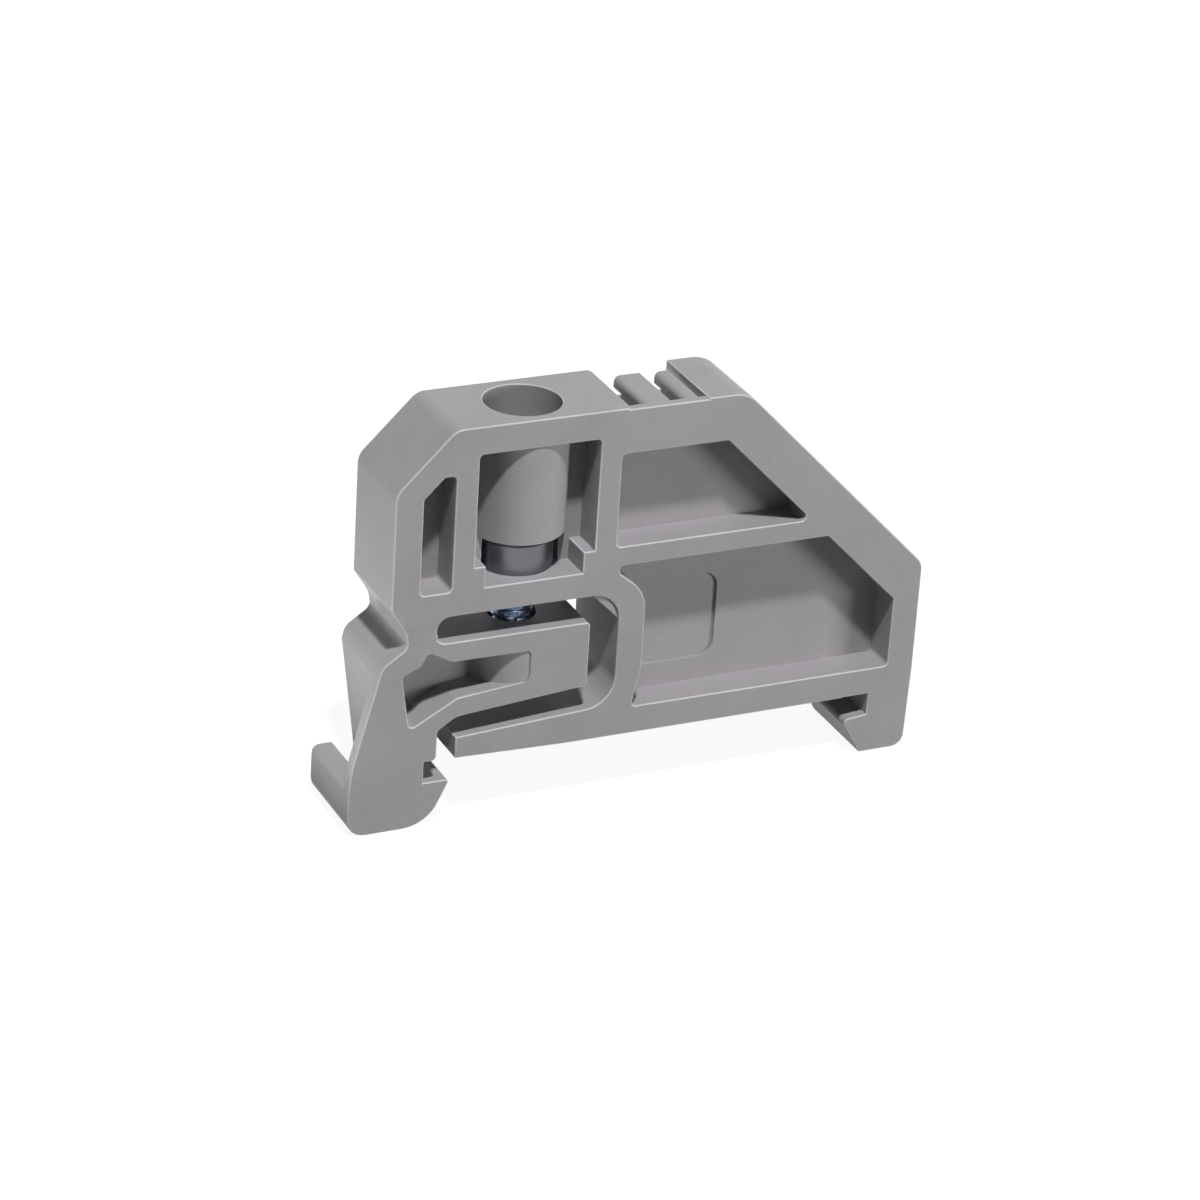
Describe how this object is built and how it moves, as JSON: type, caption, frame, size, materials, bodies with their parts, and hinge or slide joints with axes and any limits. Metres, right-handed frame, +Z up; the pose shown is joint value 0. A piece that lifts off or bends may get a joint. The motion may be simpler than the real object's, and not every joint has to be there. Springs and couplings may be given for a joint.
{
  "type": "din rail end stop",
  "caption": "Screw-clamped end stop for a 35 mm top hat rail: ribbed plastic body with a springy clamping foot, a marker tag holder and a top-driven screw.",
  "frame": {"origin": "on the face that seats on the rail, midway between the rail's two flanges and midway through the moulding's thickness", "axes": "+X across the rail from the clamping foot to the fixed foot, +Y through the moulding along the rail, +Z up, away from the rail"},
  "size_m": [0.0448, 0.0072, 0.0306],
  "materials": {
    "polyamide": "fine matt moulded grain",
    "zinc_steel": "bright zinc plating with a blue tint"
  },
  "bodies": {
    "housing": {"housing": "polyamide"},
    "foot": {"clamp_foot": "polyamide"},
    "screw": {"screw": "zinc_steel"}
  },
  "joints": [
    {"name": "screw_turn", "type": "hinge", "parent": "housing", "child": "screw", "pos_m": [-0.00997, 0, 0.0134], "axis": [0, 0, -1], "range_deg": [0, 360]},
    {"name": "foot_clamp", "type": "hinge", "parent": "housing", "child": "foot", "pos_m": [-0.01832, 0, 0.0103], "axis": [0, -1, 0], "range_deg": [0, 3.45]}
  ],
  "couplings": [
    {"joint": "foot_clamp", "follows": "screw_turn", "ratio": 0.00953}
  ]
}
